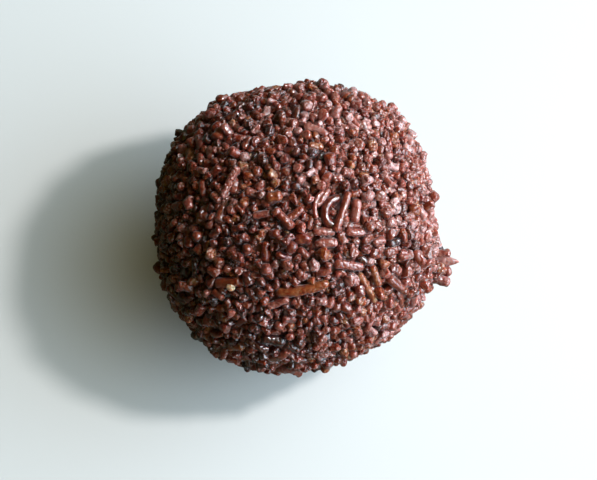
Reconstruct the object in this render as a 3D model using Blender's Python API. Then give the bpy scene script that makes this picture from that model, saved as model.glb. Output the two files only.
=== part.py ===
# A hand-rolled chocolate truffle in its coat of chocolate strands, modelled as one solid.
# Metres, +Z up. The origin is the middle of the bottom of its box, on the surface it rests on.
import math
import random

import bmesh
import bpy
import numpy as np
from mathutils import Vector

# Driving dimensions
BALL_ACROSS = 0.0330          # the rolled ball, with the lower layer of its coat
BALL_SQUARENESS = 0.020       # the four soft corners left by the palms, as a share of the radius
CORNER_BEARING = 57.0         # where the first soft corner points, degrees from +X towards +Y
SLUMP = 0.955                 # height against width, as soft ganache settles under its own weight
BASE_CUT = 0.0012             # how much of the round underside the flat resting spot takes away

STRAND_COUNT = 330            # strands that stand out of the coat
STRAND_WIDTH = 0.0025
STRAND_LENGTHS = (0.0004, 0.0026)   # between the centres of the two round ends of a strand
STRAND_RISE = 0.00095         # how far the back of a strand stands above the ball
STRAND_SINK = 0.40            # the part of that rise that a deeply pressed strand loses
PRESSED_BELOW = -62.0         # latitude under which the coat is pressed smooth, degrees
RAISED_ABOVE = -50.0          # latitude over which it has its full relief

GRID_CUTS = 27                # cuts along each edge of the cube that becomes the ball
SEED = 11

# Dents and swells of the hand-rolled form: bearing, latitude, half-width (degrees), height (m)
FORM_MARKS = (
    (-57.0, -18.0, 24.0, -0.0007),
    (178.0, 4.0, 30.0, -0.0003),
    (98.0, 12.0, 16.0, -0.0001),
    (72.0, 10.0, 11.0, 0.0005),
    (12.0, -6.0, 14.0, -0.0003),
    (225.0, -14.0, 20.0, 0.0002),
)
# The knot of strands that stuck together and stands out of one side
KNOT_MARKS = (
    (-15.0, -4.0, 5.5, 0.0018),
    (-20.0, -5.0, 5.0, 0.0008),
)


def clear_scene():
    for old in list(bpy.data.objects):
        bpy.data.objects.remove(old, do_unlink=True)


def direction(bearing, latitude):
    # Unit vector from a bearing and a latitude in degrees.
    turn = math.radians(bearing)
    rise = math.radians(latitude)
    return np.array((math.cos(rise) * math.cos(turn), math.cos(rise) * math.sin(turn), math.sin(rise)))


def ball_directions(mesh):
    # Evens out the grid of a subdivided cube (+-1) over the sphere.
    grid = np.array([vert.co[:] for vert in mesh.verts])
    even = np.tan(grid * (math.pi / 4))
    return even / np.linalg.norm(even, axis=1, keepdims=True)


def rolled_radius(directions):
    # The ball before its relief: round, with four soft corners, dents, swells and the knot.
    radius = np.full(len(directions), BALL_ACROSS / 2)
    bearing = np.arctan2(directions[:, 1], directions[:, 0])
    waist = 1.0 - directions[:, 2] ** 2
    radius *= 1.0 + BALL_SQUARENESS * waist * np.cos(4.0 * (bearing - math.radians(CORNER_BEARING)))
    for mark_bearing, mark_latitude, half_width, height in FORM_MARKS + KNOT_MARKS:
        cosine = directions @ direction(mark_bearing, mark_latitude)
        angle = np.degrees(np.arccos(np.clip(cosine, -1.0, 1.0)))
        radius += height * np.exp(-((angle / half_width) ** 2))
    return radius


def strand_relief(directions, rng):
    # The backs of the strands: each is a round-ended ridge at a place on an even spiral.
    relief = np.zeros(len(directions))
    golden_turn = math.pi * (3.0 - math.sqrt(5.0))
    radius = BALL_ACROSS / 2
    half_width = STRAND_WIDTH / 2
    for index in range(STRAND_COUNT):
        height = 1.0 - 2.0 * (index + 0.5) / STRAND_COUNT
        turn = golden_turn * index + rng.uniform(-0.15, 0.15)
        ring = math.sqrt(1.0 - height * height)
        centre = Vector((ring * math.cos(turn), ring * math.sin(turn), height))
        sideways = centre.orthogonal().normalized()
        lie = rng.uniform(0.0, math.pi)
        along = sideways * math.cos(lie) + centre.cross(sideways) * math.sin(lie)
        half_length = rng.uniform(*STRAND_LENGTHS) / 2
        rise = STRAND_RISE * (1.0 - STRAND_SINK * rng.random())

        offset = (directions - np.array(centre)) * radius
        run = np.clip(offset @ np.array(along), -half_length, half_length)
        away = np.linalg.norm(offset - run[:, None] * np.array(along), axis=1)
        ridge = rise * np.sqrt(np.clip(1.0 - (away / half_width) ** 2, 0.0, 1.0))
        relief = np.maximum(relief, ridge)
    latitude = np.degrees(np.arcsin(np.clip(directions[:, 2], -1.0, 1.0)))
    share = np.clip((latitude - PRESSED_BELOW) / (RAISED_ABOVE - PRESSED_BELOW), 0.0, 1.0)
    return relief * share


def cut_resting_flat(mesh):
    # Takes off the round underside and closes it with one flat face.
    lowest = min(vert.co.z for vert in mesh.verts)
    everything = mesh.verts[:] + mesh.edges[:] + mesh.faces[:]
    cut = bmesh.ops.bisect_plane(
        mesh,
        geom=everything,
        dist=1e-7,
        plane_co=(0.0, 0.0, lowest + BASE_CUT),
        plane_no=(0.0, 0.0, -1.0),
        clear_outer=True,
    )
    rim = [item for item in cut["geom_cut"] if isinstance(item, bmesh.types.BMEdge)]
    bmesh.ops.holes_fill(mesh, edges=rim, sides=0)


def stand_on_origin(mesh):
    # Puts the middle of the bottom of the box at the origin.
    corners = np.array([vert.co[:] for vert in mesh.verts])
    middle = (corners.min(axis=0) + corners.max(axis=0)) / 2
    lowest = corners[:, 2].min()
    bmesh.ops.translate(mesh, verts=mesh.verts, vec=(-middle[0], -middle[1], -lowest))


def chocolate_material():
    material = bpy.data.materials.new("dark_chocolate_strands")
    material.use_nodes = True
    shader = material.node_tree.nodes["Principled BSDF"]
    shader.inputs["Base Color"].default_value = (0.098, 0.032, 0.021, 1.0)
    shader.inputs["Roughness"].default_value = 0.38
    shader.inputs["Metallic"].default_value = 0.0
    return material


def make_truffle(collection):
    rng = random.Random(SEED)
    mesh = bmesh.new()
    bmesh.ops.create_cube(mesh, size=2.0)
    bmesh.ops.subdivide_edges(mesh, edges=mesh.edges[:], cuts=GRID_CUTS, use_grid_fill=True)
    directions = ball_directions(mesh)
    radius = rolled_radius(directions) + strand_relief(directions, rng)
    for vert, way, reach in zip(mesh.verts, directions, radius):
        vert.co = (way[0] * reach, way[1] * reach, way[2] * reach * SLUMP)
    cut_resting_flat(mesh)
    stand_on_origin(mesh)
    bmesh.ops.triangulate(mesh, faces=mesh.faces[:])
    bmesh.ops.recalc_face_normals(mesh, faces=mesh.faces[:])

    data = bpy.data.meshes.new("truffle")
    mesh.to_mesh(data)
    mesh.free()
    data.shade_smooth()
    data.materials.append(chocolate_material())
    truffle = bpy.data.objects.new("truffle", data)
    collection.objects.link(truffle)
    return truffle


def main():
    clear_scene()
    collection = bpy.data.collections.new("chocolate_truffle")
    bpy.context.scene.collection.children.link(collection)
    make_truffle(collection)


main()
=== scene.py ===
import math

import bpy
import numpy as np
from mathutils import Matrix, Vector


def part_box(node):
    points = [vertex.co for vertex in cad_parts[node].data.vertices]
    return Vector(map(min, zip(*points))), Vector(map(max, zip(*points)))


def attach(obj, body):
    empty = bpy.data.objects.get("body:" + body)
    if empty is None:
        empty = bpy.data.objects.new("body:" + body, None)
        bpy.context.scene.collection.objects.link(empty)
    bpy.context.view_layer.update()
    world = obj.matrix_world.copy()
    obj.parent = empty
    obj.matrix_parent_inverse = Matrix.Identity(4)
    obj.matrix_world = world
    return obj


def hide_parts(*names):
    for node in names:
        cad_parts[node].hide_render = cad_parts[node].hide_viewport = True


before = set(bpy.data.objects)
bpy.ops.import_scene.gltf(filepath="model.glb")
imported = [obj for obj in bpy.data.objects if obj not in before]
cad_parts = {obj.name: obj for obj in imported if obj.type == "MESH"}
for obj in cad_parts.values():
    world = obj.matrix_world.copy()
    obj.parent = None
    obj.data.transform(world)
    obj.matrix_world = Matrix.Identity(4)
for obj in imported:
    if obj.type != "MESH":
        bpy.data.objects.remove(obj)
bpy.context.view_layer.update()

mm = 0.001

# the rolled ball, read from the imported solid
ball = {
    "smoothing": 6.0,          # degrees over which the solid's own ridges are evened out
    "coatDepth": 1.05 * mm,    # from the evened surface down to the ganache the strands are pressed into
    "gridSide": 46,            # faces along each side of the cube that becomes the ganache
    "grit": 0.16 * mm,         # height of the ganache's own roughness
    "gritWidth": 0.9 * mm,
    "fuller": [                # where the rolling left it plumper: bearing, latitude, spread, height
        (42, 10, 15, 0.52 * mm),
        (130, 8, 22, 0.30 * mm),
        (-78, -14, 20, 0.20 * mm),
        (8, 4, 14, -0.75 * mm),
        (87, 4, 13, -0.56 * mm),
        (184, 4, 13, -0.36 * mm),
        (-120, 6, 10, -0.22 * mm),
        (-31, 6, 10, -0.26 * mm),
    ],
    "seed": 5,
}

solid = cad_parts["truffle"]
lowCorner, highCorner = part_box("truffle")
solidPoints = np.empty(len(solid.data.vertices) * 3)
solid.data.vertices.foreach_get("co", solidPoints)
solidPoints = solidPoints.reshape(-1, 3)
ballCentre = solidPoints.mean(axis=0)
ballCentre[2] = highCorner.z / 2


def unit(vectors):
    return vectors / np.linalg.norm(vectors, axis=-1, keepdims=True)


def wayOf(bearing, latitude):
    # unit vector from degrees: bearing from +X towards +Y, latitude from the waist upwards
    turn, rise = math.radians(bearing), math.radians(latitude)
    return np.array([math.cos(rise) * math.cos(turn), math.cos(rise) * math.sin(turn), math.sin(rise)])


def makeReachTable():
    # how far the evened surface is from the ball's middle, for every 2 degrees of latitude and bearing
    ways = unit(solidPoints - ballCentre)
    reach = np.linalg.norm(solidPoints - ballCentre, axis=1)
    spread = math.radians(ball["smoothing"]) ** 2
    table = np.empty((91, 181))
    for row in range(91):
        band = np.array([wayOf(2 * column, 2 * row - 90) for column in range(180)])
        weight = np.exp((band @ ways.T - 1) / spread)
        table[row, :180] = (weight @ reach) / weight.sum(axis=1)
        for bearing, latitude, width, height in ball["fuller"]:
            near = band @ wayOf(bearing, latitude) - 1
            table[row, :180] += height * np.exp(near / math.radians(width) ** 2)
    table[:, 180] = table[:, 0]
    return table


reachTable = makeReachTable()


def reachOf(ways):
    # reads the table between its entries
    latitude = (np.degrees(np.arcsin(np.clip(ways[..., 2], -1, 1))) + 90) / 2
    bearing = (np.degrees(np.arctan2(ways[..., 1], ways[..., 0])) % 360) / 2
    row = np.clip(latitude.astype(int), 0, 89)
    column = np.clip(bearing.astype(int), 0, 179)
    up, along = latitude - row, bearing - column
    low = reachTable[row, column] * (1 - along) + reachTable[row, column + 1] * along
    high = reachTable[row + 1, column] * (1 - along) + reachTable[row + 1, column + 1] * along
    return low * (1 - up) + high * up


def surfaceAt(ways, depth):
    # points on the ball at a depth under its evened surface
    return ballCentre + ways * (reachOf(ways) - depth)[..., None]


print("the ball is", [round((high - low) / mm, 1) for low, high in zip(lowCorner, highCorner)], "mm")


def linear(hexColour):
    # sRGB hex to the linear colour that the shader mixes
    parts = [int(hexColour[i:i + 2], 16) / 255 for i in (1, 3, 5)]
    return [p / 12.92 if p <= 0.04045 else ((p + 0.055) / 1.055) ** 2.4 for p in parts] + [1.0]


def node(tree, kind, settings=None, inputs=None):
    # adds a node, sets its properties, and gives each input a value or a link from another node's
    # output; a ramp's stops come as pairs of place and hex colour
    made = tree.nodes.new(kind)
    for name, value in (settings or {}).items():
        if name != "stops":
            setattr(made, name, value)
            continue
        band = made.color_ramp.elements
        while len(band) < len(value):
            band.new(0.5)
        for element, (place, colour) in zip(band, value):
            element.position = place
            element.color = linear(colour)
    for name, value in (inputs or {}).items():
        if isinstance(value, bpy.types.NodeSocket):
            tree.links.new(value, made.inputs[name])
        else:
            made.inputs[name].default_value = value
    return made


# Chocolate strands are pressed through a die, broken up and tumbled with a glaze, so the eye sees
# a dark waxy red-brown body, small broken glints on a knobbly skin, and duller broken ends.
strandFinish = {
    "tones": [(0.0, "#220a09"), (0.16, "#36120f"), (0.27, "#4b1b10"), (0.36, "#581d13"), (0.46, "#652b1a"),
              (0.54, "#703123"), (0.62, "#784034"), (0.70, "#865852"), (0.79, "#9a726d"), (0.82, "#5a1811"),
              (0.88, "#6c2a12"), (0.93, "#763f20"), (1.0, "#a8866a")],
    "brokenEnd": "#7a5147",
    "endShare": 0.45,
    "mottleWidth": 0.6 * mm,
    "mottleShare": 0.25,
    "knobWidth": 0.45 * mm,    # real glaze ripples are finer, drawn as coarse as the render can show
    "knobHeight": 0.30 * mm,
    "grainWidth": 0.20 * mm,
    "grainHeight": 0.01 * mm,
    "ior": 1.62,
    "specularTint": (1.0, 0.95, 0.93),
    "roughness": (0.11, 0.27),
    "dust": 0.18,
    "dustRoughness": 0.35,
    "dustColour": (0.98, 0.97, 1.0),
    "glaze": 0.0,
    "glazeRoughness": 0.16,
    "glow": 1.0,               # light that soaks into the cocoa butter and comes out red
    "glowDepth": 1.4 * mm,
    "glowColour": (1.0, 0.50, 0.40),
}


def strandMaterial(name, finish):
    material = bpy.data.materials.new(name)
    material.use_nodes = True
    tree = material.node_tree
    shader = tree.nodes["Principled BSDF"]
    place = node(tree, "ShaderNodeTexCoord").outputs["Object"]
    tone = node(tree, "ShaderNodeAttribute", {"attribute_name": "tone"}).outputs["Fac"]
    crust = node(tree, "ShaderNodeAttribute", {"attribute_name": "crust"}).outputs["Fac"]
    ends = node(tree, "ShaderNodeAttribute", {"attribute_name": "brokenEnd"}).outputs["Fac"]

    # colour: each strand has its own tone, plus painted light and shade by its side of the ball, mottled a little
    # along its length
    mottle = node(tree, "ShaderNodeTexNoise", inputs={
        "Vector": place, "Scale": 1 / finish["mottleWidth"], "Detail": 3.0, "Roughness": 0.6})
    wander = node(tree, "ShaderNodeMath", {"operation": "MULTIPLY_ADD"}, {
        0: mottle.outputs["Fac"], 1: finish["mottleShare"], 2: -finish["mottleShare"] / 2})
    mixed = node(tree, "ShaderNodeMath", {"operation": "ADD", "use_clamp": True}, {
        0: tone, 1: wander.outputs[0]})
    colour = node(tree, "ShaderNodeValToRGB", {"stops": finish["tones"]}, {"Fac": mixed.outputs[0]})
    dullness = node(tree, "ShaderNodeMath", {"operation": "MULTIPLY"}, {0: ends, 1: finish["endShare"]})
    dulled = node(tree, "ShaderNodeMix", {"data_type": "RGBA"}, {
        0: dullness.outputs[0], 6: colour.outputs["Color"], 7: linear(finish["brokenEnd"])})
    tree.links.new(dulled.outputs[2], shader.inputs["Base Color"])

    # skin: round knobs with creases between, and a finer grain, stronger on some strands than on others
    shake = node(tree, "ShaderNodeTexNoise", inputs={
        "Vector": place, "Scale": 1 / finish["mottleWidth"], "Detail": 1.0})
    moved = node(tree, "ShaderNodeVectorMath", {"operation": "MULTIPLY_ADD"}, {
        0: shake.outputs["Color"], 1: (finish["mottleWidth"] / 2,) * 3, 2: place})
    knobs = node(tree, "ShaderNodeTexVoronoi", {"feature": "SMOOTH_F1"}, {
        "Vector": moved.outputs[0], "Scale": 1 / finish["knobWidth"], "Smoothness": 0.3})
    domes = node(tree, "ShaderNodeMath", {"operation": "MULTIPLY"}, {
        0: knobs.outputs["Distance"], 1: knobs.outputs["Distance"]})
    grain = node(tree, "ShaderNodeTexNoise", inputs={
        "Vector": place, "Scale": 1 / finish["grainWidth"], "Detail": 1.0})
    coarse = node(tree, "ShaderNodeBump", {"invert": True}, {
        "Strength": crust, "Distance": finish["knobHeight"], "Height": domes.outputs[0]})
    fine = node(tree, "ShaderNodeBump", inputs={
        "Strength": crust, "Distance": finish["grainHeight"], "Height": grain.outputs["Fac"],
        "Normal": coarse.outputs["Normal"]})
    tree.links.new(fine.outputs["Normal"], shader.inputs["Normal"])
    tree.links.new(fine.outputs["Normal"], shader.inputs["Coat Normal"])
    shine = node(tree, "ShaderNodeMapRange", inputs={
        "Value": mottle.outputs["Fac"], "From Min": 0.3, "From Max": 0.7,
        "To Min": finish["roughness"][0], "To Max": finish["roughness"][1]})
    tree.links.new(shine.outputs["Result"], shader.inputs["Roughness"])

    shader.inputs["IOR"].default_value = finish["ior"]
    shader.inputs["Specular Tint"].default_value = (*finish["specularTint"], 1)
    shader.inputs["Sheen Weight"].default_value = finish["dust"]
    shader.inputs["Sheen Roughness"].default_value = finish["dustRoughness"]
    shader.inputs["Sheen Tint"].default_value = (*finish["dustColour"], 1)
    shader.inputs["Coat Weight"].default_value = finish["glaze"]
    shader.inputs["Coat Roughness"].default_value = finish["glazeRoughness"]
    shader.inputs["Subsurface Weight"].default_value = finish["glow"]
    shader.inputs["Subsurface Radius"].default_value = finish["glowColour"]
    shader.inputs["Subsurface Scale"].default_value = finish["glowDepth"]
    return material


# The ganache shows only as dark gaps between the strands, with a damp gloss.
ganacheFinish = {
    "dark": "#481f16",
    "light": "#663226",
    "mottleWidth": 1.4 * mm,
    "ior": 1.46,
    "roughness": 0.5,
    "bumpWidth": 0.35 * mm,
    "bumpHeight": 0.05 * mm,
}


def ganacheMaterial():
    material = bpy.data.materials.new("cocoaGanacheRolled")
    material.use_nodes = True
    tree = material.node_tree
    shader = tree.nodes["Principled BSDF"]
    place = node(tree, "ShaderNodeTexCoord").outputs["Object"]
    mottle = node(tree, "ShaderNodeTexNoise", inputs={
        "Vector": place, "Scale": 1 / ganacheFinish["mottleWidth"], "Detail": 4.0})
    colour = node(tree, "ShaderNodeValToRGB", {
        "stops": [(0.3, ganacheFinish["dark"]), (0.7, ganacheFinish["light"])]}, {"Fac": mottle.outputs["Fac"]})
    tree.links.new(colour.outputs["Color"], shader.inputs["Base Color"])
    rough = node(tree, "ShaderNodeTexNoise", inputs={
        "Vector": place, "Scale": 1 / ganacheFinish["bumpWidth"], "Detail": 3.0})
    bump = node(tree, "ShaderNodeBump", inputs={
        "Strength": 1.0, "Distance": ganacheFinish["bumpHeight"], "Height": rough.outputs["Fac"]})
    tree.links.new(bump.outputs["Normal"], shader.inputs["Normal"])
    shader.inputs["Roughness"].default_value = ganacheFinish["roughness"]
    shader.inputs["IOR"].default_value = ganacheFinish["ior"]
    return material


def meshPiece(name, points, faces, material, uv=None, attributes=None):
    # one closed or joined mesh, shaded smooth, that rides on the truffle's body
    mesh = bpy.data.meshes.new(name)
    mesh.from_pydata(points.tolist(), [], faces.tolist())
    mesh.polygons.foreach_set("use_smooth", [True] * len(mesh.polygons))
    if uv is not None:
        layer = mesh.uv_layers.new(name="OFBake")
        layer.data.foreach_set("uv", np.ascontiguousarray(uv, dtype=np.float32).ravel())
    for label, values in (attributes or {}).items():
        mesh.attributes.new(label, "FLOAT", "POINT").data.foreach_set("value", values.astype(np.float32))
    mesh.materials.append(material)
    mesh.update()
    piece = bpy.data.objects.new(name, mesh)
    bpy.context.scene.collection.objects.link(piece)
    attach(piece, "root")
    return piece


def waveNoise(points, width, rng, waves=14):
    # smooth lumps about 'width' across, between -1 and 1
    ways = unit(rng.normal(size=(waves, 3)))
    speed = rng.uniform(0.7, 1.4, waves) * math.pi / width
    phase = rng.uniform(0, 2 * math.pi, waves)
    return np.sin(points @ (ways * speed[:, None]).T + phase).sum(axis=-1) / math.sqrt(waves) / 1.2


def makeCore():
    # the ganache: a cube's grid spread over the ball, with a gritty skin and a flat resting spot
    side = ball["gridSide"]
    steps = np.tan(np.linspace(-1, 1, side + 1) * math.pi / 4)
    across, up = np.meshgrid(steps, steps, indexing="ij")
    ahead = np.ones_like(across)
    sheets = [(ahead, across, up), (-ahead, -across, up), (-across, ahead, up),
              (across, -ahead, up), (-up, across, ahead), (up, across, -ahead)]
    ways = np.concatenate([np.stack(s, axis=-1).reshape(-1, 3) for s in sheets])
    grid = np.arange((side + 1) ** 2).reshape(side + 1, side + 1)
    quads = np.stack([grid[:-1, :-1], grid[1:, :-1], grid[1:, 1:], grid[:-1, 1:]], axis=-1).reshape(-1, 4)
    faces = np.concatenate([quads + sheet * grid.size for sheet in range(6)])
    # points on shared edges of the six sheets become one
    keys = np.round(unit(ways), 6)
    kept, first, back = np.unique(keys, axis=0, return_index=True, return_inverse=True)
    ways = unit(ways)[first]
    rng = np.random.default_rng(ball["seed"])
    points = surfaceAt(ways, ball["coatDepth"])
    grit = waveNoise(points, ball["gritWidth"], rng) * ball["grit"]
    points = points + ways * grit[:, None]
    points[:, 2] = np.maximum(points[:, 2], 0.25 * mm)
    cells = np.concatenate([quads] * 6)
    u = (cells % (side + 1)) / side
    v = (cells // (side + 1)) / side
    sheetOf = np.repeat(np.arange(6), len(quads))[:, None]
    uv = np.stack([(sheetOf % 3 + 0.02 + 0.96 * v) / 3, (sheetOf // 3 + 0.02 + 0.96 * u) / 2], axis=-1)
    core = meshPiece("ganache_core", points, back.ravel()[faces], ganacheMaterial(), uv)
    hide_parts("truffle")


makeCore()
print("ganache core made")

# How the strands lie: each is dropped onto the coat and comes to rest in the lowest place near it.
coat = {
    "seed": 23,
    "rollTries": 14,            # places and turns tried for each strand
    "rollReach": 0.65 * mm,     # how far a strand may roll while it settles
    "bedCount": 1900,           # nibs pressed into the ganache before the rest
    "bedLimit": -0.16 * mm,
    "outerCount": 6000,         # strands offered to the outer layer; many find no room
    "crumbCount": 2600,
    "outerLimit": 0.36 * mm,    # how far a strand's back may stand over the evened surface
    "outerSpread": 0.24 * mm,
    "crumbLimit": 0.36 * mm,
    "stickUp": 0.12,            # share of the short strands that stand on end
    "proud": 0.12,              # share that caught on others and stand out of the coat
    "proudBy": 0.62 * mm,
}
rng = np.random.default_rng(coat["seed"])

# Each kind of strand, in mm: length over all (lowest, usual, highest) and thickness (lowest, highest);
# "press" is how far two touching strands sink into each other, as a share of their summed radii.
# A "bed" is a nib that others cover almost wholly.
kinds = {
    "stub": {"length": (1.0, 1.3, 2.1), "thick": (0.86, 1.28), "swell": 0.15, "knob": 0.10, "cuts": 2,
             "caps": (70, 44, 18), "rings": 5, "sides": 11, "tilt": 0.30, "press": 0.76},
    "strand": {"length": (2.2, 2.8, 4.2), "thick": (0.78, 1.06), "swell": 0.08, "knob": 0.05, "cuts": 1,
               "caps": (70, 44, 18), "rings": 12, "sides": 11, "tilt": 0.08, "press": 0.80},
    "nib": {"length": (0.75, 1.0, 1.35), "thick": (0.68, 1.12), "swell": 0.16, "knob": 0.10, "cuts": 4,
            "caps": (62, 28), "rings": 3, "sides": 9, "tilt": 0.6, "press": 0.72},
    "bed": {"swell": 0.14, "knob": 0.06, "cuts": 3, "caps": (40,), "rings": 2, "sides": 7},
    "crumb": {"length": (0.30, 0.46, 0.8), "thick": (0.26, 0.46), "swell": 0.16, "knob": 0.08, "cuts": 3,
              "caps": (40,), "rings": 2, "sides": 6, "tilt": 0.6, "press": 0.60},
}
laid = []                                    # every strand that has come to rest
beadRoom = 60000
beadPoints = np.empty((beadRoom, 3))         # the strands as rows of beads, for finding where the next one rests
beadRadii = np.empty(beadRoom)
beadShown = np.zeros(beadRoom, bool)         # beads of strands that nothing may cover
beadCount = 0


def drawTone():
    # most strands are close in colour; a few are near-black, faded, red or amber
    pick = rng.random()
    if pick < 0.18:
        return rng.uniform(0.81, 0.93)
    if pick < 0.20:
        return rng.uniform(0.05, 0.18)
    return float(np.clip(rng.normal(0.46, 0.15), 0.16, 0.76))


def drawStrand(kind):
    sizes = kinds[kind]
    length = rng.triangular(*sizes["length"]) * mm
    thick = min(rng.uniform(*sizes["thick"]) * mm, length)
    standing = kind in ("stub", "nib") and rng.random() < coat["stickUp"]
    return {
        "kind": kind, "length": length, "radius": thick / 2,
        "bend": rng.normal(0, 130.0),                       # one over the bend's radius, per metre
        "tilt": rng.uniform(0.9, 1.5) if standing else rng.normal(0, sizes["tilt"]),
        "tone": drawTone(), "crust": rng.uniform(0.25, 1.0),
    }


def framesAt(ways):
    # outward normals and two directions along the surface, for many places at once
    pole = np.where(np.abs(ways[:, 2:]) < 0.9, [[0.13, 0.21, 0.97]], [[1.0, 0.1, 0.0]])
    side = unit(np.cross(ways, pole))
    other = np.cross(ways, side)
    step = 0.05
    edges = [surfaceAt(unit(ways + shift), 0.0)
             for shift in (side * step, -side * step, other * step, -other * step)]
    normals = unit(np.cross(edges[0] - edges[1], edges[2] - edges[3]))
    normals *= np.sign((normals * ways).sum(axis=1))[:, None]
    side = unit(side - (side * normals).sum(axis=1)[:, None] * normals)
    return normals, side, np.cross(normals, side)


def arcOf(along, bend):
    # forward and sideways distances along an arc of a steady bend
    bend = np.where(np.abs(bend) < 1.0, 1.0, bend)
    return np.sin(bend * along) / bend, (1 - np.cos(bend * along)) / bend


def hugOf(strand):
    # how a long strand dips at its ends to follow the round ball
    return 0.5 / reachTable.mean() if strand["length"] > 2.4 * mm and abs(strand["tilt"]) < 0.6 else 0.0


def layStrand(strand, way, limit, lie=None, shown=False, tries=None):
    # tries places and turns round 'way', keeps the one where the strand lies lowest; a chosen lie is
    # counted in degrees from the east of the place, turning towards north
    global beadCount
    tries = tries or coat["rollTries"]
    radius = strand["radius"]
    half = max(strand["length"] / 2 - radius, 0.0)
    count = int(math.ceil(2 * half / (0.8 * radius))) + 1 if half > 0.1 * radius else 1
    along = np.linspace(-half, half, count) if count > 1 else np.zeros(1)
    forward, sideways = arcOf(along, strand["bend"])
    dip = -hugOf(strand) * (forward ** 2 + sideways ** 2)

    reach = 0.0 if lie is not None else coat["rollReach"] / reachTable.mean()
    ways = unit(way + rng.normal(size=(tries, 3)) * reach)
    normals, side, other = framesAt(ways)
    if lie is None:
        turn = rng.uniform(0, 2 * math.pi, (tries, 1))
        ahead = side * np.cos(turn) + other * np.sin(turn)
    else:
        east = unit(np.cross([0.0, 0.0, 1.0], normals))
        ahead = east * math.cos(math.radians(lie)) + np.cross(normals, east) * math.sin(math.radians(lie))
    ahead = ahead * math.cos(strand["tilt"]) + normals * math.sin(strand["tilt"])
    across = unit(np.cross(normals, ahead))
    up = np.cross(ahead, across)
    feet = surfaceAt(ways, ball["coatDepth"])
    local = (forward[None, :, None] * ahead[:, None] + sideways[None, :, None] * across[:, None]
             + dip[None, :, None] * up[:, None])
    rows = feet[:, None] + local
    lowest = (local * normals[:, None]).sum(axis=-1)

    # the height at which each row of beads first touches the ganache or a strand under it
    height = radius * 0.45 - lowest.min(axis=1)
    span = strand["length"] / 2 + 3 * coat["rollReach"] * (lie is None) + 1.9 * mm
    near = np.nonzero(((beadPoints[:beadCount] - surfaceAt(way[None], ball["coatDepth"] / 2)[0]) ** 2
                       ).sum(axis=1) < span ** 2)[0]
    if len(near):
        gap = rows[:, :, None] - beadPoints[near]
        ahead2 = (gap * normals[:, None, None]).sum(axis=-1)
        closest = (radius + beadRadii[near]) * (0.62 if shown else kinds[strand["kind"]]["press"])
        inside = ahead2 ** 2 - (gap ** 2).sum(axis=-1) + closest ** 2
        stop = np.where(inside > 0, -ahead2 + np.sqrt(np.maximum(inside, 0)), -1.0)
        height = np.maximum(height, stop.reshape(tries, -1).max(axis=1))
    top = height + lowest.max(axis=1) + radius - ball["coatDepth"]
    shownNear = near[beadShown[near]]
    if len(shownNear) and not shown:
        gap = rows[:, :, None] + height[:, None, None, None] * normals[:, None, None] - beadPoints[shownNear]
        rise = (gap * normals[:, None, None]).sum(axis=-1)
        flat = np.sqrt(np.maximum((gap ** 2).sum(axis=-1) - rise ** 2, 0))
        hides = (rise > 0.1 * mm) & (flat < 0.85 * (radius + beadRadii[shownNear]))
        top = np.where(hides.any(axis=(1, 2)), 1.0, top)
    best = int(np.argmin(top))
    if top[best] > limit:
        return False
    lift = normals[best] * height[best]
    strand.update(middle=feet[best] + lift, ahead=ahead[best], across=across[best], up=up[best],
                  hug=hugOf(strand), beads=(beadCount, beadCount + count))
    laid.append(strand)
    beadPoints[beadCount:beadCount + count] = rows[best] + lift
    beadRadii[beadCount:beadCount + count] = radius
    beadShown[beadCount:beadCount + count] = shown
    beadCount += count
    return True


def evenWays(count, spin):
    # directions spread evenly over the ball, in a shuffled order
    index = np.arange(count)
    height = 1 - 2 * (index + 0.5) / count
    turn = index * math.pi * (3 - math.sqrt(5)) + spin
    ring = np.sqrt(1 - height ** 2)
    ways = np.stack([ring * np.cos(turn), ring * np.sin(turn), height], axis=1)
    return ways[rng.permutation(count)]


for way in evenWays(coat["bedCount"], 0.0):
    layStrand(drawStrand("nib"), way, coat["bedLimit"], tries=6)
print("bedded:", len(laid), "nibs")
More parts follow.
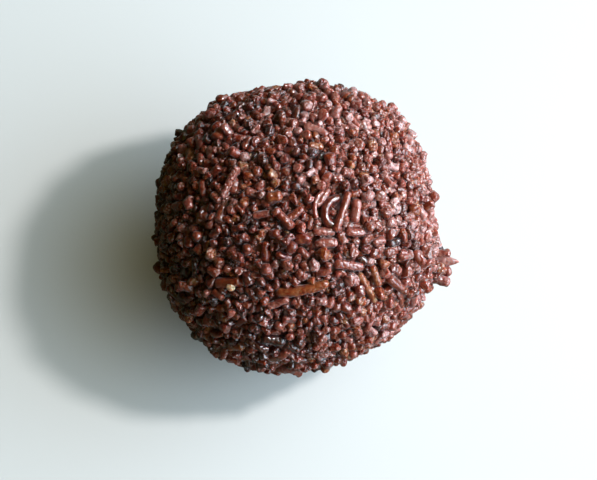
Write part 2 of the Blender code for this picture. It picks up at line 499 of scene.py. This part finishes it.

# Strands that stand out, set one by one before the rest: bearing, latitude, lie, length over all and
# thickness in mm, tone, crust, bend radius in mm (0 is straight) and tilt in degrees.
standouts = {
    "curl": (-44, 73.5, -137, 5.6, 1.08, 0.36, 0.25, 1.6, 0),
    "curlGuard": (-24, 78, -19, 2.5, 0.85, 0.60, 0.4, 0, 0),
    "curlOuter": (-44.5, 79, -148, 3.4, 0.54, 0.60, 0.3, 2.5, 0),
    "curlPost": (-29.2, 68.6, -168, 4.8, 0.90, 0.50, 0.3, 0, 0),
    "caramelStub": (-20, 62.8, -158, 2.7, 1.20, 0.62, 0.3, 0, 0),
    "rungHigh": (-58.5, 67.7, -31, 2.5, 0.86, 0.60, 0.5, 0, 0),
    "rungLow": (-62, 63.1, -26, 2.6, 1.05, 0.62, 0.5, 0, 0),
    "pegHigh": (-32, 60, -50, 1.9, 0.78, 0.55, 0.6, 0, 0),
    "pegLow": (-36, 58, -51, 2.3, 0.86, 0.60, 0.5, 0, 0),
    "crownRight": (-93, 77.5, 48, 2.5, 0.95, 0.50, 0.5, 0, 0),
    "crownLeft": (-106, 74.5, -30, 2.3, 0.95, 0.52, 0.5, 0, 0),
    "crownFar": (-141, 71, 62, 2.0, 0.85, 0.60, 0.5, 0, 0),
    "endOnCrown": (-126, 76, -55, 1.6, 1.08, 0.50, 0.3, 0, 75),
    "amberLump": (-151, 79.5, 73, 1.9, 1.40, 0.89, 0.5, 0, 0),
    "midPost": (-68, 73.5, -111, 1.9, 0.85, 0.48, 0.6, 0, 0),
    "redBean": (-116, 59.5, -67, 2.4, 1.10, 0.85, 0.25, 0, 0),
    "redPlug": (-83, 67.5, -7, 2.0, 1.30, 0.85, 0.3, 0, 0),
    "redRod": (-55, 50, -46, 3.5, 0.98, 0.57, 0.5, 0, 0),
    "cakedHigh": (-58, 44, -34, 1.7, 1.45, 0.68, 1.0, 0, 0),
    "cakedLow": (-63, 25.5, -35, 1.8, 1.40, 0.60, 1.0, 0, 0),
    "spikeShort": (-45, 38.5, -103, 2.9, 0.90, 0.92, 0.4, 0, 0),
    "spikeLong": (-52, 36, -91, 4.6, 0.80, 0.93, 0.3, 0, 0),
    "amberRod": (-86, 46, 12, 6.0, 1.16, 0.90, 0.3, 22, 0),
    "slope": (-83, 61.5, -48, 1.6, 0.78, 0.55, 0.6, 0, 0),
    "endOnLeft": (136, 48, -105, 2.4, 1.00, 0.62, 0.3, 0, 62),
    "leftSlash": (134, 59.5, -178, 1.7, 0.88, 0.55, 0.5, 0, 0),
    "ovalInner": (176, 63, 5, 2.0, 0.98, 0.55, 0.5, 0, 0),
    "ovalOuter": (175, 47.5, 6, 2.1, 1.00, 0.55, 0.4, 0, 0),
    "ovalUpper": (152, 46, 34, 1.9, 0.89, 0.62, 0.4, 0, 0),
    "redLump": (-179, 32, 76, 2.3, 1.35, 0.85, 0.6, 0, 0),
    "amberLeft": (155, 33, 38, 2.1, 1.02, 0.92, 0.5, 0, 0),
    "amberBack": (66, 70, -151, 1.8, 0.98, 0.92, 0.5, 0, 0),
    "brightSlash": (-100, 39.5, 29, 2.7, 0.87, 0.62, 0.5, 0, 0),
    "dullSlash": (-120, 50.5, 2, 2.1, 0.87, 0.60, 0.5, 0, 0),
    "flatAmber": (-128, 39.5, 45, 3.4, 1.10, 0.88, 0.3, 0, 0),
    "plumSlash": (-114, 40, -34, 2.2, 0.87, 0.30, 0.5, 0, 0),
    "plumStub": (-100, 19.5, -10, 2.9, 1.30, 0.12, 0.4, 0, 0),
    "amberLow": (-114, 9.5, 40, 2.3, 1.02, 0.92, 0.4, 0, 0),
    "knotTip": (-14.4, -3, 0, 3.5, 1.30, 0.70, 0.3, 0, 88),
    "knotLow": (-20.4, -4, 0, 2.8, 1.10, 0.68, 0.6, 0, 86),
    "knotTop": (-12.2, -2, 0, 2.3, 1.10, 0.62, 0.6, 0, 84),
    "knotMiddle": (-17.4, -4, 0, 2.4, 1.30, 0.60, 0.6, 0, 86),
    "paleCrumb": (-125, 39.5, 10, 1.0, 0.80, 1.00, 0.5, 0, 0),
    "paleChip": (-68, -8, 60, 1.1, 0.80, 0.97, 0.5, 0, 0),
    "beadedPost": (174, 62, -20, 3.9, 0.92, 0.62, 1.0, 0, 0),
}
for label, (bearing, latitude, lie, length, thick, tone, crust, bow, tilt) in standouts.items():
    strand = {"kind": "strand" if length > 2.6 else "stub", "length": length * mm, "radius": thick * mm / 2,
              "bend": 1 / (bow * mm) if bow else 0.0, "tilt": math.radians(tilt), "tone": tone, "crust": crust,
              "whole": 1.0, "pointed": 0.85 if label == "knotTip" else 0.0}
    if not layStrand(strand, wayOf(bearing, latitude), 2.6 * mm, lie, True, 1):
        print("found no room for", label)
    if crust == 1.0:
        # crumbs caked onto it
        for crumb in range(16):
            stray = unit(wayOf(bearing, latitude) + rng.normal(size=3) * 0.035)
            layStrand(drawStrand("crumb"), stray, 1.0 * mm, tries=3)
print("standing out:", len(standouts))

for way in evenWays(coat["outerCount"], 1.0):
    pick = rng.random()
    kind = "strand" if pick < 0.035 else "stub" if pick < 0.74 else "nib"
    strand = drawStrand(kind)
    limit = coat["outerLimit"] + rng.normal(0, coat["outerSpread"])
    if rng.random() < coat["proud"]:
        strand["tilt"] = rng.uniform(0.3, 1.2)
        limit += coat["proudBy"]
    layStrand(strand, way, limit)
print("outer layer:", len(laid), "strands")

# A knot of strands that stuck together as it was rolled, at the waist on the right.
knot = {
    "bearing": -17.0,
    "latitude": -3.0,
    "spread": 2.0,             # degrees
    "count": 6,
    "limit": 1.9 * mm,
}
for number in range(knot["count"]):
    strand = drawStrand("stub")
    strand["tilt"] = rng.uniform(-0.2, 1.0)
    stray = rng.normal(0, knot["spread"], 2)
    layStrand(strand, wayOf(knot["bearing"] + stray[0], knot["latitude"] + stray[1]), knot["limit"], tries=4)

for way in evenWays(coat["crumbCount"], 2.0):
    layStrand(drawStrand("crumb"), way, coat["crumbLimit"], tries=5)
print("with crumbs:", len(laid), "and", beadCount, "beads")


# Painted light and shade: the strands on the right, towards the window, are painted paler and those on the lower left
# are painted darker.
paintedLightAndShade = {
    # the way towards the lit side; the painted shift grows along it
    "towards": (0.94, 0.34, 0.0),
    "tone": 0.19,
    "range": (0.16, 0.79),     # only the plain browns drift
}
# each plain strand's tone is moved by its side of the ball: painted paler where lit, darker in shade
for strand in laid:
    if "whole" not in strand and paintedLightAndShade["range"][0] <= strand["tone"] <= paintedLightAndShade["range"][1]:
        share = np.dot(strand["middle"] - ballCentre, paintedLightAndShade["towards"]) / highCorner.x
        strand["tone"] = float(np.clip(strand["tone"] + paintedLightAndShade["tone"] * share, *paintedLightAndShade["range"]))


def seenShare(strand):
    # share of the ways out from a strand that no other strand blocks
    first, last = strand["beads"]
    own = beadPoints[first:last]
    near = np.nonzero(((beadPoints[:beadCount] - strand["middle"]) ** 2).sum(axis=1) < (4.0 * mm) ** 2)[0]
    near = near[(near < first) | (near >= last)]
    out = unit(strand["middle"] - ballCentre)
    side = unit(np.cross(out, [0.3, 0.5, 0.8]))
    other = np.cross(out, side)
    ways = [out] + [unit(out + (side * math.cos(t) + other * math.sin(t)) * 1.1)
                    for t in np.linspace(0, 2 * math.pi, 6, endpoint=False)]
    gap = beadPoints[near][None] - own[:, None]
    far = (gap ** 2).sum(axis=-1)
    clear = 0
    for way in ways:
        along = gap @ way
        blocked = (along > 0.3 * strand["radius"]) & (far - along ** 2 < (0.75 * beadRadii[near]) ** 2)
        clear += (~blocked.any(axis=1)).sum()
    return clear / (len(ways) * len(own))


for strand in laid:
    strand["seen"] = seenShare(strand)


def shapeStrands(strands, sizes):
    # swept, bent and lumpy tubes with rounded or broken ends, all with the same number of rings
    count = len(strands)
    sides, body = sizes["sides"], sizes["rings"]
    radius = np.array([s["radius"] for s in strands])[:, None]
    crust = np.array([s["crust"] for s in strands])[:, None]
    reach = np.array([s["length"] for s in strands])[:, None] / radius / 2      # half the length, in radii
    blunt = np.where(rng.random((count, 2)) < 0.45, rng.uniform(0.25, 0.6, (count, 2)),
                     rng.uniform(0.6, 1.0, (count, 2)))                        # 1 is a round end
    whole = np.array([s.get("whole", 0.0) for s in strands])[:, None]
    blunt = np.maximum(blunt, 0.75 * whole)

    # one strand is a stack of rings: each has a place along it and a share of its thickness
    cap = np.radians(sizes["caps"])
    half = np.maximum(reach - blunt, 0.05)
    between = np.linspace(0, 1, body)
    along = np.concatenate([
        -half[:, :1] - blunt[:, :1] * np.sin(cap),
        -half[:, :1] * (1 - between) + half[:, 1:] * between,
        half[:, 1:] + blunt[:, 1:] * np.sin(cap[::-1])], axis=1)
    share = np.concatenate([np.cos(cap), np.ones(body), np.cos(cap[::-1])])
    rings = len(share)
    even = np.linspace(0, 2 * math.pi, sides, endpoint=False)
    turn = math.pi / 2 + even - 0.35 * np.sin(even)         # closer together on the side that shows

    # the two end points close the tube
    place = np.empty((count, rings * sides + 2, 3))
    place[:, :-2, 0] = np.repeat(along, sides, axis=1)
    place[:, :-2, 1] = np.outer(share, np.cos(turn)).ravel()
    place[:, :-2, 2] = np.outer(share, np.sin(turn)).ravel()
    place[:, -2] = np.stack([-half[:, 0] - blunt[:, 0], 0 * half[:, 0], 0 * half[:, 0]], axis=-1)
    place[:, -1] = np.stack([half[:, 1] + blunt[:, 1], 0 * half[:, 1], 0 * half[:, 1]], axis=-1)

    # slow swells and pinches, knobs, a slight flatness and a taper
    def lumps(slow, fast, waves):
        total = np.zeros(place.shape[:2])
        for wave in range(waves):
            pace = unit(rng.normal(size=(count, 1, 3))) * rng.uniform(slow, fast, (count, 1, 1))
            total += np.sin((place * pace).sum(axis=-1) + rng.uniform(0, 6.28, (count, 1)))
        return total / math.sqrt(waves / 2)
    girth = 1 + sizes["swell"] * (1 - 0.5 * whole) * lumps(0.9, 2.0, 4)
    girth += sizes["knob"] * (0.3 + 1.2 * crust) * lumps(3.2, 6.0, 10)
    girth += rng.normal(0, 0.06, (count, 1)) * (1 - 0.7 * whole) * place[..., 0] / reach
    pointed = np.array([s.get("pointed", 0.0) for s in strands])[:, None]
    girth -= pointed * np.clip(place[..., 0] / reach, 0, 1)
    angle = np.arctan2(place[..., 2], place[..., 1])
    girth += rng.uniform(0, 0.12, (count, 1)) * np.cos(2 * angle + rng.uniform(0, 6.28, (count, 1)))
    place[..., 1:] *= girth[..., None]

    # broken ends and side facets: whatever is past a random plane is flattened onto it
    broken = np.zeros(place.shape[:2])

    def cutAt(normal, depth, firm):
        past = np.maximum((place * normal[:, None]).sum(axis=-1) - depth, 0)
        place[...] -= normal[:, None] * (past * firm)[..., None]
        return past
    for end in (-1.0, 1.0):
        if sizes["cuts"]:
            lean = rng.uniform(0, 0.65, count)
            swing = rng.uniform(0, 6.28, count)
            normal = np.stack([end * np.cos(lean), np.sin(lean) * np.cos(swing), np.sin(lean) * np.sin(swing)], axis=1)
            cutHere = (rng.random((count, 1)) < 0.6) & (whole == 0)
            past = cutAt(normal, reach - np.where(cutHere, rng.uniform(0.15, 0.45, (count, 1)), -1.0), 0.92)
            broken = np.maximum(broken, np.clip(past * 6, 0, 1))
    for cut in range(sizes["cuts"]):
        swing = rng.uniform(0, 6.28, count)
        normal = unit(np.stack([rng.normal(0, 0.35, count), np.cos(swing), np.sin(swing)], axis=1))
        cutAt(normal, rng.uniform(0.62, 1.0, (count, 1)), 0.8 * (1 - whole))

    # bend the stack along its arc and set it in place
    place *= radius[..., None]
    bend = np.array([s["bend"] for s in strands])[:, None]
    bend = np.where(np.abs(bend) < 1.0, 1.0, bend)
    hug = np.array([s["hug"] for s in strands])[:, None]
    heading = bend * place[..., 0]
    forward = np.sin(heading) / bend - place[..., 1] * np.sin(heading)
    sideways = (1 - np.cos(heading)) / bend + place[..., 1] * np.cos(heading)
    rise = place[..., 2] - hug * (forward ** 2 + sideways ** 2)
    middle, ahead, across, up = (np.array([s[k] for s in strands])[:, None]
                                 for k in ("middle", "ahead", "across", "up"))
    points = middle + forward[..., None] * ahead + sideways[..., None] * across + rise[..., None] * up
    return points, broken


def stackFaces(rings, sides):
    # triangles of one strand, and where their corners go in its cell of the bake map
    faces, corners = [], []
    for r in range(rings - 1):
        for s in range(sides):
            around = [(s, r), (s + 1, r), (s + 1, r + 1), (s, r + 1)]
            for trio in ((0, 1, 2), (0, 2, 3)):
                faces.append([around[i][1] * sides + around[i][0] % sides for i in trio])
                corners.append([(around[i][0], around[i][1] + 1) for i in trio])
    low, high = rings * sides, rings * sides + 1
    for s in range(sides):
        last = (rings - 1) * sides
        faces.append([low, (s + 1) % sides, s])
        corners.append([(s + 0.5, 0), (s + 1, 1), (s, 1)])
        faces.append([high, last + s, last + (s + 1) % sides])
        corners.append([(s + 0.5, rings + 1), (s, rings), (s + 1, rings)])
    return np.array(faces), np.array(corners, float) / [sides, rings + 1]


def makePiece(name, strands, kind, material):
    sizes = kinds[kind]
    points, broken = shapeStrands(strands, sizes)
    faces, corners = stackFaces(sizes["rings"] + 2 * len(sizes["caps"]), sizes["sides"])
    count, each = points.shape[:2]
    columns = math.ceil(math.sqrt(count))
    cell = np.stack([np.arange(count) % columns, np.arange(count) // columns], axis=1)
    uv = (cell[:, None, None] + 0.06 + 0.88 * corners) / columns
    faces = (faces + (np.arange(count) * each)[:, None, None]).reshape(-1, 3)
    points = points.reshape(-1, 3)
    points[:, 2] = np.maximum(points[:, 2], 0.02 * mm)      # pressed flat where the ball rests on them
    looks = {label: np.repeat([s[label] for s in strands], each) for label in ("tone", "crust")}
    meshPiece(name, points, faces, material, uv, {**looks, "brokenEnd": broken.ravel()})
    print(name, count, "strands,", len(faces), "triangles")
    return len(faces)


glazed = strandMaterial("chocolateStrandGlazed", strandFinish)
for strand in laid:
    if strand["kind"] == "nib" and strand["seen"] < 0.35:
        strand["kind"] = "bed"
byKind = {kind: [s for s in laid if s["kind"] == kind and s["seen"] >= 0.08] for kind in kinds}
total = 0
for kind, labels in (("stub", ("stubs_a", "stubs_b", "stubs_c", "stubs_d")), ("strand", ("long_strands",)),
                     ("nib", ("nibs_a", "nibs_b")), ("bed", ("nibs_under",)), ("crumb", ("crumbs",))):
    for number, label in enumerate(labels):
        total += makePiece(label, byKind[kind][number::len(labels)], kind, glazed)
print("triangles in all:", total)


# A pale floor, a window-like key from the right, a low fill from the same side and a dim room.
studio = {
    "floor": "#c0bab6",
    "floorBounce": "#524e3c",       # the floor as it lights the ball, so that its underside stays dark
    "floorSize": 3.0,
    "keyColour": (0.93, 0.98, 1.0),
    "keyPower": 0.53,
    "keyAway": 0.23,
    "keySize": 0.025,
    "keyBearing": 6.0,
    "keyHeight": 52.0,
    "fillPower": 0.15,
    "fillAway": 0.26,
    "fillSize": 0.30,
    "fillBearing": -2.0,
    "fillHeight": 18.0,
    "roomStops": [(0.0, "#000000"), (0.40, "#0e0c02"), (0.5, "#221f05"), (0.6, "#383410"), (0.8, "#6c7a84"),
                  (1.0, "#ccebff")],
    "roomPower": 12.6,
    "backdrop": (0.80, 0.83, 0.84),
}


def lookAt(thing, target):
    thing.rotation_mode = "QUATERNION"
    thing.rotation_quaternion = (Vector(target) - thing.location).to_track_quat("-Z", "Y")


def makeFloor():
    bpy.ops.mesh.primitive_plane_add(size=studio["floorSize"], location=(0, 0, 0))
    floor = bpy.context.object
    floor.name = "floor"
    material = bpy.data.materials.new("paleMattFloor")
    material.use_nodes = True
    tree = material.node_tree
    shader = tree.nodes["Principled BSDF"]
    seen = node(tree, "ShaderNodeLightPath").outputs["Is Camera Ray"]
    colour = node(tree, "ShaderNodeMix", {"data_type": "RGBA"}, {
        0: seen, 6: linear(studio["floorBounce"]), 7: linear(studio["floor"])})
    tree.links.new(colour.outputs[2], shader.inputs["Base Color"])
    shader.inputs["Roughness"].default_value = 0.6
    shader.inputs["Specular IOR Level"].default_value = 0.1
    floor.data.materials.append(material)


def makeLamp(name, power, size, bearing, height, away):
    lamp = bpy.data.lights.new(name, "AREA")
    lamp.shape = "DISK"
    lamp.size = size
    lamp.color = studio["keyColour"]
    lamp.energy = power
    made = bpy.data.objects.new(name, lamp)
    made.location = Vector(ballCentre) + Vector(wayOf(bearing, height)) * away
    lookAt(made, ballCentre)
    made.visible_camera = False
    bpy.context.scene.collection.objects.link(made)


def makeRoom():
    # the room is brighter on the window's side; only a direct look at the backdrop is plain and pale
    world = bpy.data.worlds.new("room")
    world.use_nodes = True
    tree = world.node_tree
    tree.nodes.clear()
    way = node(tree, "ShaderNodeSeparateXYZ", inputs={
        "Vector": node(tree, "ShaderNodeTexCoord").outputs["Generated"]})
    share = node(tree, "ShaderNodeMapRange", inputs={"Value": way.outputs["X"], "From Min": -1.0})
    tinted = node(tree, "ShaderNodeValToRGB", {"stops": studio["roomStops"]}, {"Fac": share.outputs["Result"]})
    seen = node(tree, "ShaderNodeLightPath").outputs["Is Camera Ray"]
    colour = node(tree, "ShaderNodeMix", {"data_type": "RGBA"}, {
        0: seen, 6: tinted.outputs["Color"], 7: (*(part / studio["roomPower"] for part in studio["backdrop"]), 1)})
    sky = node(tree, "ShaderNodeBackground", inputs={
        "Color": colour.outputs[2], "Strength": studio["roomPower"]})
    out = node(tree, "ShaderNodeOutputWorld")
    tree.links.new(sky.outputs[0], out.inputs["Surface"])
    bpy.context.scene.world = world


shot = {
    "away": 0.21,
    "height": 74.0,            # degrees above the floor
    "widthShown": 69.5 * mm,   # across the frame, at the ball's middle
    "ballUp": 1.75 * mm,       # how far above the frame's middle the ball's middle sits
    "ballLeft": 0.25 * mm,
}


def makeCamera():
    data = bpy.data.cameras.new("camera")
    data.sensor_width = 36.0
    data.lens = 36.0 * shot["away"] / shot["widthShown"]
    data.clip_start, data.clip_end = 0.01, 10.0
    camera = bpy.data.objects.new("camera", data)
    bpy.context.scene.collection.objects.link(camera)
    rise = math.radians(shot["height"])
    upwards = Vector((0, math.sin(rise), math.cos(rise)))
    target = Vector(ballCentre) - upwards * shot["ballUp"] + Vector((1, 0, 0)) * shot["ballLeft"]
    camera.location = target + Vector((0, -math.cos(rise), math.sin(rise))) * shot["away"]
    lookAt(camera, target)
    bpy.context.scene.camera = camera


makeFloor()
makeLamp("windowKey", studio["keyPower"], studio["keySize"], studio["keyBearing"], studio["keyHeight"],
         studio["keyAway"])
makeLamp("windowFill", studio["fillPower"], studio["fillSize"], studio["fillBearing"], studio["fillHeight"],
         studio["fillAway"])
makeRoom()
makeCamera()
bpy.context.scene.view_settings.view_transform = "Standard"
print("floor, light and camera made")
